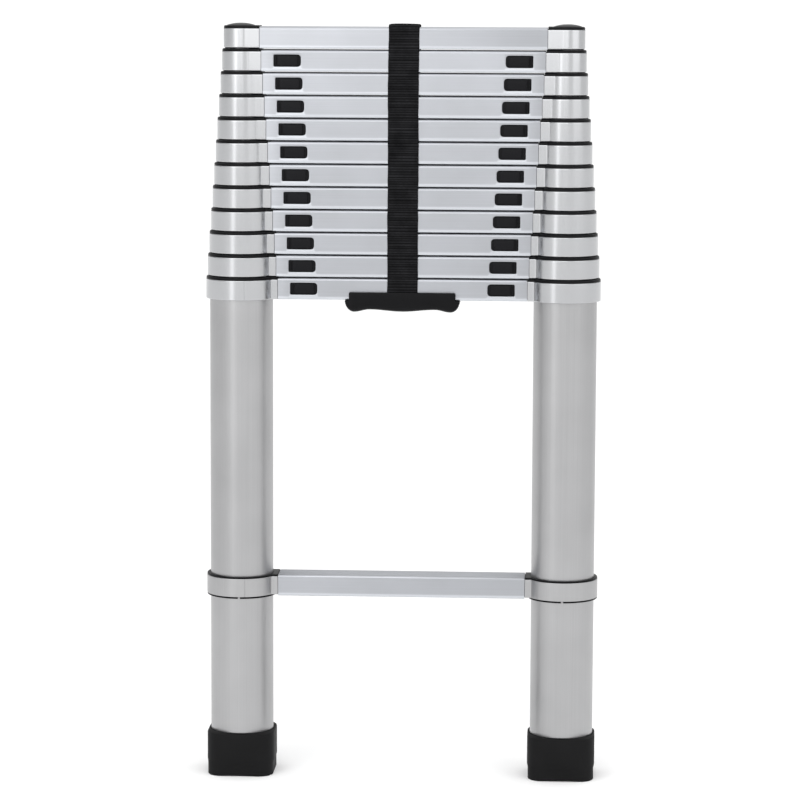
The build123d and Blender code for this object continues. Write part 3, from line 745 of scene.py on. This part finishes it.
# --- Boots ---------------------------------------------------------------------------------------
# Moulded rubber boots, square with rounded corners, pushed over the tube ends on a hard plastic
# plug. The rim slopes up to a sealing lip, and tread bars cross the sole, slightly arched between corners.
boot_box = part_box("foot_boots")
boot_ease, sole_ease = 0.5 * mm, 1.1 * mm
boot_half = (boot_box[1].y - boot_box[0].y) / 2 - boot_ease
boot_top = boot_box[1].z
boot_corner, sole_corner = 25 * mm, 19 * mm
sole_half = boot_half - sole_ease
sole_height, shoulder = 14 * mm, 4 * mm
rim_slope, rim_start = (1.8 * mm, 1.3 * mm), 1.2 * mm
# the sloping rim as shares of rim_slope, inwards and down from the top, then the sealing lip as mm
# out from the tube and down from the top
rim_profile = ((0.15, 1.0), (0.35, 0.86), (1, 0.2))
lip_profile = ((1.9, 0.1), (1.5, 0), (1.25, 0.6), (0.85, 0.7), (0.6, 0.1), (0.25, 0.0), (0, 0.3))
tread_depth, tread_arch, arch_half = 2 * mm, 1.1 * mm, 27 * mm
tread_profile = ((0, tread_depth), (0, 0.9 * mm), (0.3 * mm, 0.3 * mm), (0.9 * mm, 0))
sole_grooves = np.array(((-31.5, -28.5), (-11.5, -8.5), (8.5, 11.5), (28.5, 31.5))) * mm
boot_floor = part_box("bottom_tubes")[0].z


def boot_loop(half, corner, inset=0.0):
    """A square outline with rounded corners."""
    side = half - inset
    return frame_loop(-side, side, -side, side, (corner - inset,) * 2, 20, 20)


def tread_bar(y0, y1):
    """A bar across the sole. Its two ends follow the sole's rounded outline, and its underside rises
    as a parabola between the sole's corners on the outer bars."""
    y = y0 + (y1 - y0) * eased(16)
    corner = np.maximum(np.abs(y) - (sole_half - sole_corner), 0)
    half = sole_half - sole_corner + np.sqrt(np.maximum(sole_corner ** 2 - corner ** 2, 0))
    u = np.linspace(-1, 1, 25)
    outer = max(abs(y0), abs(y1)) > sole_half - sole_corner
    rows = []
    for inset, z in tread_profile:
        squeeze_y = (y - (y0 + y1) / 2) * (1 - 2 * inset / (y1 - y0)) + (y0 + y1) / 2
        side_x = half - inset
        loop = np.vstack((np.column_stack((u * side_x[0], np.full(25, squeeze_y[0]))),
                          np.column_stack((side_x, squeeze_y))[1:-1],
                          np.column_stack((-u * side_x[-1], np.full(25, squeeze_y[-1]))),
                          np.column_stack((-side_x, squeeze_y))[::-1][1:-1]))
        lift = tread_arch * np.clip(1 - (loop[:, 0] / arch_half) ** 2, 0, 1) * outer * (1 - z / tread_depth)
        rows.append(np.column_stack((loop, z + lift)))
    rows = np.stack(rows) + (-stile_x, 0, 0)
    return [surface(rows, close_columns=True), cover(rows[0]), cover(rows[-1])]


square = boot_loop(boot_half, boot_corner)
loops = [(boot_loop(sole_half, sole_corner), tread_depth), (boot_loop(sole_half, sole_corner), sole_height)]
for share in eased(6)[1:]:
    outline = boot_loop(sole_half + (boot_half - sole_half) * share,
                        sole_corner + (boot_corner - sole_corner) * share)
    loops.append((outline, sole_height + shoulder * share))
loops.append((square, boot_top - rim_slope[1] - rim_start))
loops += [(boot_loop(boot_half, boot_corner, rim_slope[0] * inset), boot_top - rim_slope[1] * drop)
          for inset, drop in rim_profile]
loops += [(ring_loop(square, tube_hole + out * mm), boot_top - drop * mm) for out, drop in lip_profile]
loops.append((ring_loop(square, tube_hole), boot_floor - press_fit))
boot_rows = stack(loops)
boot = [surface(boot_rows, close_columns=True), cover(boot_rows[0]), cover(boot_rows[-1])]
for y0, y1 in np.concatenate(([-sole_half], sole_grooves.ravel(), [sole_half])).reshape(-1, 2):
    boot += tread_bar(y0, y1)

# carbon-filled rubber: nearly black and dull, with a fine grain and a faint grey bloom
rubber = new_material("moulded_rubber")
rubber_place = add_node(rubber, "TexCoord").outputs["Object"]
rubber_grain = add_node(rubber, "TexNoise", {"Vector": rubber_place, "Scale": 1400.0, "Detail": 3.0})
rubber_bloom = add_node(rubber, "TexNoise", {"Vector": rubber_place, "Scale": 30.0, "Detail": 5.0})
rubber_tint = add_node(rubber, "Mix", {"Factor": rubber_bloom.outputs[0], 6: linear("#0A0A0B"),
                                                 7: linear("#161617")}, data_type="RGBA")
rubber_rough = add_node(rubber, "MapRange",
                        {"Value": rubber_bloom.outputs[0], "To Min": 0.5, "To Max": 0.7})
rubber_bump = add_node(rubber, "Bump", {"Height": rubber_grain.outputs[0], "Distance": 0.04 * mm,
                                        "Strength": 0.6})
rubber_shader = add_node(rubber, "BsdfPrincipled",
                         {"Base Color": rubber_tint.outputs[2], "Roughness": rubber_rough.outputs[0],
                          "IOR": 1.5,
                          "Specular IOR Level": 0.13, "Normal": rubber_bump.outputs[0]})
add_node(rubber, "OutputMaterial", {"Surface": rubber_shader.outputs[0]})
make_piece("rubber_boots", mirrored(boot), rubber, "bottom_section", ("foot_boots",))

plug_outer = tube_radius(1) - tube_wall - press_fit
plug_inner = plug_outer - plug_wall
foot_plug_height, foot_chamfer = 20 * mm, 0.5 * mm
foot_plug = np.array(((0, 0), (plug_outer - foot_chamfer, 0), (plug_outer, foot_chamfer),
                      (plug_outer, foot_plug_height), (plug_inner, foot_plug_height),
                      (plug_inner, plug_floor), (0, plug_floor))) + (0, boot_floor)
make_piece("tube_end_plugs", mirrored([surface(turned(foot_plug, -stile_x), close_columns=True)]),
           bush_nylon,
           "bottom_section", ("foot_plugs",))

# --- Caps ----------------------------------------------------------------------------------------
# Low domed nylon plugs close the narrowest tubes. They are polished in the mould, so they gleam.
# The dome falls from its middle as a power of the radius.
cap_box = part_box("top_caps")
cap_radius = cap_box[1].x - stile_x
cap_seat_z = rung_bottom(section_count) + rung_height + flange_rise
cap_rim, cap_power, cap_chamfer = 0.5 * mm, 2.2, 0.5 * mm
dome_r = cap_radius * np.sin(np.radians(np.linspace(0, 90, 15)))
dome_rise = cap_box[1].z - cap_seat_z - cap_rim
dome = np.column_stack((dome_r, cap_box[1].z - dome_rise * (dome_r / cap_radius) ** cap_power))
spigot = tube_radius(section_count) - cap_seat - press_fit
cap_profile = np.vstack((dome, [(cap_radius, cap_seat_z), (spigot, cap_seat_z),
                                (spigot, cap_box[0].z + cap_chamfer),
                                (spigot - cap_chamfer, cap_box[0].z), (0, cap_box[0].z)]))
cap_nylon = moulded_nylon("polished_nylon", "#09090B", 0.16, 0.8 * mm, 0.006 * mm, 0.16)
make_piece("top_caps_domed", mirrored([surface(turned(cap_profile, -stile_x), close_columns=True)]),
           cap_nylon,
           "top_section", ("top_caps",))

# --- Carry handle --------------------------------------------------------------------------------
# A nylon grip moulded in one, screwed under the bottom rung from below. Thin walls lap the rung's
# front and rear and hold the strap's ends; the grip's underside is a wave with a lobe at each end.
handle_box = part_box("carry_handle")
rung_foot = rung_bottom(1)
handle_half, handle_top, handle_low = handle_box[1].y, handle_box[1].z, handle_box[0].z + 0.4 * mm
grip_half, plate_half = handle_box[1].x, 64.5 * mm
ledge_z = rung_foot - 0.8 * mm
lobe_x, arch_x = grip_half - 11 * mm, 0.57 * grip_half
arch_rise, belly_rise = 3.2 * mm, 0.6 * mm
pocket_half, pocket_depth = 19.5 * mm, 2.4 * mm
plate_round, lip_round = 2 * mm, 1.2 * mm


def grip_underside(x):
    """Height of the underside: cosine waves from the belly to the arch and on to the lobe, and a
    quarter ellipse round the lobe's end."""
    x = np.abs(x)
    first = belly_rise + (arch_rise - belly_rise) * (1 - np.cos(math.pi * np.clip(x / arch_x, 0, 1))) / 2
    second = arch_rise * (1 + np.cos(math.pi * np.clip((x - arch_x) / (lobe_x - arch_x), 0, 1))) / 2
    end = np.clip((x - lobe_x) / (grip_half - lobe_x), 0, 0.999)
    lobe = (ledge_z - handle_low) * (1 - np.sqrt(1 - end ** 2))
    return handle_low + np.where(x < arch_x, first, np.where(x < lobe_x, second, lobe))


def handle_section(x, wall_top, seat, inside):
    """A closed U-shaped outline across X at station x: outer sides that curve in under the grip, and
    an inside that fits the rung. All stations have the same points."""
    under = float(grip_underside(x))
    bend = min(9 * mm, 0.62 * (ledge_z - under))
    bulge = 1 - 0.12 * np.clip((abs(x) - lobe_x) / (grip_half - lobe_x), 0, 1) ** 2
    side = handle_half * bulge
    lip = min(lip_round, (wall_top - seat) / 2 + 0.05 * mm)
    right = np.vstack((arc((inside + lip * 0.4, wall_top - lip * 0.4), lip * 0.4, 180, 90, 2),
                       arc((side - lip, wall_top - lip), lip, 90, 0, 5),
                       [(side, (ledge_z + under + bend) / 2)],
                       arc((side - bend, under + bend), bend, 0, -90, 8)))
    left = right[::-1] * (-1, 1)
    floor_ = [(-inside, seat), (inside, seat)]
    outline = np.vstack((right, left, floor_))
    return np.insert(outline, 0, x, axis=1)


stations = []
rounding = plate_half - plate_round + plate_round * np.sin(np.radians((0, 20, 40, 60, 75, 90)))
for x in np.concatenate((np.linspace(pocket_half, rounding[0], 26), rounding[1:])):
    drop = plate_round - math.sqrt(max(plate_round ** 2 - max(x - rounding[0], 0) ** 2, 0))
    stations.append((x, handle_top - drop, rung_foot - press_fit, half_depth + press_fit))
stations.append((plate_half, ledge_z + 0.1 * mm, ledge_z, half_depth + press_fit))
for x in plate_half + (grip_half - plate_half) * np.sin(np.radians(np.linspace(12, 90, 12))):
    stations.append((x, ledge_z + 0.1 * mm, ledge_z, half_depth + press_fit))
pocket = [(x, handle_top, rung_foot - press_fit, half_depth + pocket_depth)
          for x in np.linspace(0, pocket_half, 9)]
right_half = pocket + stations
every = [(-s[0],) + s[1:] for s in right_half[:0:-1]] + right_half
handle_rows = np.stack([handle_section(*station) for station in every])
handle_parts = [surface(handle_rows, close_columns=True), cover(handle_rows[0]), cover(handle_rows[-1])]
handle_nylon = moulded_nylon("handle_nylon", "#0A0A0C", 0.36, 0.6 * mm, 0.03 * mm)
carry_grip = make_piece("carry_grip", handle_parts, handle_nylon, "bottom_section",
                        ("carry_handle",))

# --- Handle screws -------------------------------------------------------------------------------
# Two zinc plated pan-head screws with a socket in the head, driven up through counterbores in the
# grip's underside into the rung. The counterbores are cut out of the finished grip.
screw_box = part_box("handle_screws")
screw_head_radius, recess_gap = 4 * mm, 0.05 * mm
screw_x = screw_box[1].x - screw_head_radius
screw_head_height = 2.5 * mm
# radius and height in mm: the socket, the domed head, the shank and its point
screw_profile = np.array(((0, 1.4), (1.4, 1.4), (1.5, 0.1), (2.6, 0.15), (3.6, 0.7), (4, 1.5),
                          (4, 2.5), (2, 2.5), (2, 18), (1.2, 18.5), (0, 18.5))) * mm + (0, screw_box[0].z)
make_piece("grip_screws", mirrored([surface(turned(screw_profile, -screw_x, 0, 32), close_columns=True)]),
           zinc_steel,
           "bottom_section", ("handle_screws",))

recess_radius, recess_top = screw_head_radius + recess_gap, screw_box[0].z + screw_head_height
recess = np.array(((0, handle_box[0].z - mm), (recess_radius, handle_box[0].z - mm),
                   (recess_radius, recess_top), (0, recess_top)))
recesses = mirrored([surface(turned(recess, -screw_x, 0, 40), close_columns=True)])
cutter = add_object("recesses", make_mesh("recesses", recesses))
cut = carry_grip.modifiers.new("recesses", "BOOLEAN")
cut.operation, cut.solver, cut.object = "DIFFERENCE", "EXACT", cutter
drilled = bpy.data.meshes.new_from_object(carry_grip.evaluated_get(bpy.context.evaluated_depsgraph_get()))
carry_grip.modifiers.clear()
carry_grip.data = drilled
bpy.data.objects.remove(cutter)

# --- Carry strap ---------------------------------------------------------------------------------
# Black polypropylene webbing with cross ribs, 37 mm wide, laid over the top rung. Both ends are
# tucked in the handle's pockets. It is one length, so it leans and ripples a little between the rungs.
strap_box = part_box("carry_strap")
strap_width = strap_box[1].x - strap_box[0].x
strap_thickness = 1.5 * mm
strap_front = strap_box[1].y - 0.9 * mm
strap_foot = strap_box[0].z
strap_head = strap_box[1].z - 0.9 * mm
strap_bend = 5 * mm
rib_pitch = 3.1 * mm
rib_depth = 0.38 * mm


def strap_path(s):
    """Middle line by length: up the front, a quarter circle, across the top, a quarter circle, and
    down the rear. Returns the y and z of each place, and the direction that faces outwards."""
    rise = strap_head - strap_bend - strap_foot
    bend = strap_bend * math.pi / 2
    across = 2 * (strap_front - strap_bend)
    ends = np.cumsum((rise, bend, across, bend, rise))
    half = np.where(s <= ends[2] - across / 2, s, ends[-1] - s)
    sign = np.where(s <= ends[2] - across / 2, -1.0, 1.0)
    turn = np.clip((half - rise) / strap_bend, 0, math.pi / 2)
    y = strap_front - strap_bend * (1 - np.cos(turn)) - np.maximum(half - rise - bend, 0)
    z = strap_foot + np.minimum(half, rise) + strap_bend * np.sin(turn)
    return np.stack((sign * y, z), -1), np.stack((sign * np.cos(turn), np.sin(turn)), -1), ends[-1]


def waves(s, seed, size, *lengths):
    """A sum of sine waves of the given lengths, with phases drawn from a seeded generator."""
    phases = np.random.default_rng(seed).uniform(0, 2 * math.pi, len(lengths))
    sines = [np.sin(2 * math.pi * s / length + phase) for length, phase in zip(lengths, phases)]
    return size * sum(sines) / len(lengths)


def rib_height(s):
    """Height of the cross ribs, 0 in a groove to 1 on a ridge: a power of a sine's size. Sums of waves
    make the pitch and the height of the ribs uneven."""
    phase = math.pi * s / rib_pitch + waves(s, 11, 0.8, 0.037, 0.017)
    return np.abs(np.sin(phase)) ** 0.8 * np.clip(0.8 + waves(s, 12, 0.35, 0.0047, 0.0071, 0.0113), 0.2, 1)


strap_length = float(strap_path(np.zeros(1))[2])
along = np.linspace(0, strap_length, int(strap_length / rib_pitch * 7))
line, outward, _ = strap_path(along)
fade = np.clip(np.minimum(along, strap_length - along) / (25 * mm), 0, 1)
lean = waves(along, 3, 0.5 * mm, 0.31, 0.17) * fade + 0.8 * mm * np.sin(math.pi * along / strap_length)
lift = waves(along, 5, 0.22 * mm, 0.045, 0.078, 0.029) * fade
wide = waves(along, 8, 0.25 * mm, 0.05, 0.023, 0.09) * fade
count = 15
u = np.sin(np.radians(np.linspace(-90, 90, count)))
edge_round = np.sqrt(np.clip(1 - np.abs(u) ** 9, 0, 1))
section_u = np.concatenate((u, u[::-1][1:-1]))
section_side = np.concatenate((edge_round, -edge_round[::-1][1:-1]))
selvedge = np.clip((1 - np.abs(section_u)) / 0.1, 0, 1)
ribs = rib_depth * rib_height(along)[:, None] * selvedge[None]
height = section_side[None] * (strap_thickness / 2 - rib_depth + ribs)
crown = 0.35 * mm * (1 - section_u ** 2)[None] * np.clip(outward[:, 1:], 0, 1)
curl = waves(along, 21, 0.25 * mm, 0.06, 0.11)[:, None] * section_u[None] * fade[:, None]
reach_out = height + lift[:, None] + crown + curl
points = np.empty((len(along), len(section_u), 3))
points[..., 0] = lean[:, None] + section_u[None] * (strap_width / 2 + wide[:, None])
points[..., 1:] = line[:, None] + outward[:, None] * reach_out[..., None]
strap_parts = [surface(points, close_columns=True), cover(points[0]), cover(points[-1])]

# woven polypropylene: dull black, with a painted highlight on the ridges of its cross ribs
webbing = new_material("ribbed_webbing")
web_rib = add_node(webbing, "Attribute", attribute_name="rib").outputs["Fac"]
web_across = add_node(webbing, "Attribute", attribute_name="across").outputs["Fac"]
web_along = add_node(webbing, "Attribute", attribute_name="along").outputs["Fac"]
web_place = add_node(webbing, "CombineXYZ", {0: web_across, 1: web_along}).outputs[0]
# fibres 0.4 mm apart along the strap; the broad noise makes the painted ridge highlight patchy
fibre_place = add_node(webbing, "Mapping", {"Vector": web_place, "Scale": (300, 2500, 1)}).outputs[0]
fibre = add_node(webbing, "TexNoise", {"Vector": fibre_place, "Scale": 1.0, "Detail": 3.0})
painted_highlight_mask = add_node(webbing, "TexNoise", {"Vector": web_place, "Scale": 45.0, "Detail": 4.0})
# painted highlight and shade: the rib ridges are lightened towards grey as if lit, and the grooves stay dark
# as if shaded
grey = add_node(webbing, "Math", {0: web_rib, 1: painted_highlight_mask.outputs[0]}, operation="MULTIPLY")
grey = add_node(webbing, "Math", {0: grey.outputs[0], 1: fibre.outputs[0]}, operation="MULTIPLY")
web_mix = add_node(webbing, "MapRange", {"Value": grey.outputs[0], "From Min": 0.03, "From Max": 0.3})
web_tint = add_node(webbing, "Mix", {"Factor": web_mix.outputs[0], 6: linear("#030304"),
                                               7: linear("#242426")}, data_type="RGBA")
web_bump = add_node(webbing, "Bump", {"Height": fibre.outputs[0], "Distance": 0.12 * mm, "Strength": 0.7})
web_shader = add_node(webbing, "BsdfPrincipled",
                      {"Base Color": web_tint.outputs[2], "Roughness": 0.85, "Specular IOR Level": 0.08,
                       "Normal": web_bump.outputs[0]})
add_node(webbing, "OutputMaterial", {"Surface": web_shader.outputs[0]})
strap = make_piece("webbing_strap", strap_parts, webbing, "top_section", ("carry_strap",),
                   60)
places = vertex_places(strap)
on_face = places[:, 2] < strap_head - strap_bend
climb = places[:, 2] - strap_foot
strap_along = np.where(on_face, climb, strap_length / 2 - np.abs(places[:, 1]))
strap_along = np.where(places[:, 1] > 0, strap_length - strap_along, strap_along)
for name, values in (("across", places[:, 0]), ("along", strap_along), ("rib", rib_height(strap_along))):
    add_attribute(strap, name, values)

# --- Floor, light and camera ---------------------------------------------------------------------
# A white paper floor without a visible end. The studio is a pale room, darker to the left and rear; soft
# banks hang in front of the upper half and to its right, and a tall strip stands on the left.
floor_mesh = bpy.data.meshes.new("floor")
reach = 400.0
floor_mesh.from_pydata([(-reach, -reach, 0), (reach, -reach, 0), (reach, reach, 0), (-reach, reach, 0)], [],
                       [(0, 1, 2, 3)])
floor = add_object("floor", floor_mesh)
# matt white background paper, without gloss
paper = new_material("white_paper")
paper_shader = add_node(paper, "BsdfPrincipled",
                        {"Base Color": linear("#F5F5F5"), "Roughness": 0.95, "Specular IOR Level": 0.1})
add_node(paper, "OutputMaterial", {"Surface": paper_shader.outputs[0]})
floor_mesh.materials.append(paper)

wall_light, right_light, front_light, ceiling_light = 0.5, 0.2, 0.38, 0.88
studio = bpy.data.worlds.new("studio")
studio.use_nodes = True
studio.node_tree.nodes.clear()
towards = add_node(studio, "TexCoord").outputs["Generated"]
towards = add_node(studio, "SeparateXYZ", {0: towards})
front = add_node(studio, "MapRange", {"Value": towards.outputs[1], "From Min": 0.0, "From Max": -0.9,
                                                "To Min": wall_light, "To Max": wall_light + front_light},
                 interpolation_type="SMOOTHSTEP")
ceiling = add_node(studio, "MapRange", {"Value": towards.outputs[2], "From Min": 0.35, "From Max": 0.9,
                                                  "To Min": 0.0, "To Max": ceiling_light},
                   interpolation_type="SMOOTHSTEP")
sky = add_node(studio, "Math", {0: front.outputs[0], 1: ceiling.outputs[0]}, operation="ADD")
right = add_node(studio, "MapRange", {"Value": towards.outputs[0], "From Min": -1.0, "From Max": 1.0,
                                                "To Min": 0.0, "To Max": right_light})
sky = add_node(studio, "Math", {0: sky.outputs[0], 1: right.outputs[0]}, operation="ADD")
glow = add_node(studio, "Background", {"Color": (1, 1, 1, 1), "Strength": sky.outputs[0]})
add_node(studio, "OutputWorld", {"Surface": glow.outputs[0]})
bpy.context.scene.world = studio
bpy.context.scene.view_settings.view_transform = "Standard"


def soft_box(name, place, target, size, radiance):
    """A rectangular area light at place that faces target. Its power is pi times its area times the
    radiance that its surface should show."""
    light = bpy.data.lights.new(name, "AREA")
    light.shape, light.size, light.size_y = "RECTANGLE", *size
    light.energy = math.pi * size[0] * size[1] * radiance
    lamp = add_object(name, light)
    lamp.location = place
    lamp.rotation_euler = (Vector(target) - Vector(place)).to_track_quat("-Z", "Y").to_euler()
    lamp.visible_camera = False


soft_box("front_bank", (-0.55, -1.5, 1.42), (-0.1, 0, 1.15), (2.0, 1.1), 1.35)
soft_box("left_strip", (-0.75, -1.15, 1.0), (0, 0, 0.8), (0.3, 1.9), 0.8)
soft_box("right_bank", (1.75, -1.15, 1.36), (0, 0, 0.95), (1.7, 1.1), 1.0)

look_at = Vector((-0.0032, 0, 0.4638))
azimuth, elevation, roll = map(math.radians, (3.04, 7.38, 0.23))
distance = 4.11
back = Vector((math.sin(azimuth) * math.cos(elevation), -math.cos(azimuth) * math.cos(elevation),
               math.sin(elevation)))
camera = add_object("camera", bpy.data.cameras.new("camera"))
camera.data.sensor_width = 36
camera.data.lens = 151.5
camera.data.clip_end = 1000
turn = (-back).to_track_quat("-Z", "Y").to_matrix().to_4x4() @ Matrix.Rotation(roll, 4, "Z")
camera.matrix_world = Matrix.Translation(look_at + back * distance) @ turn
bpy.context.scene.camera = camera
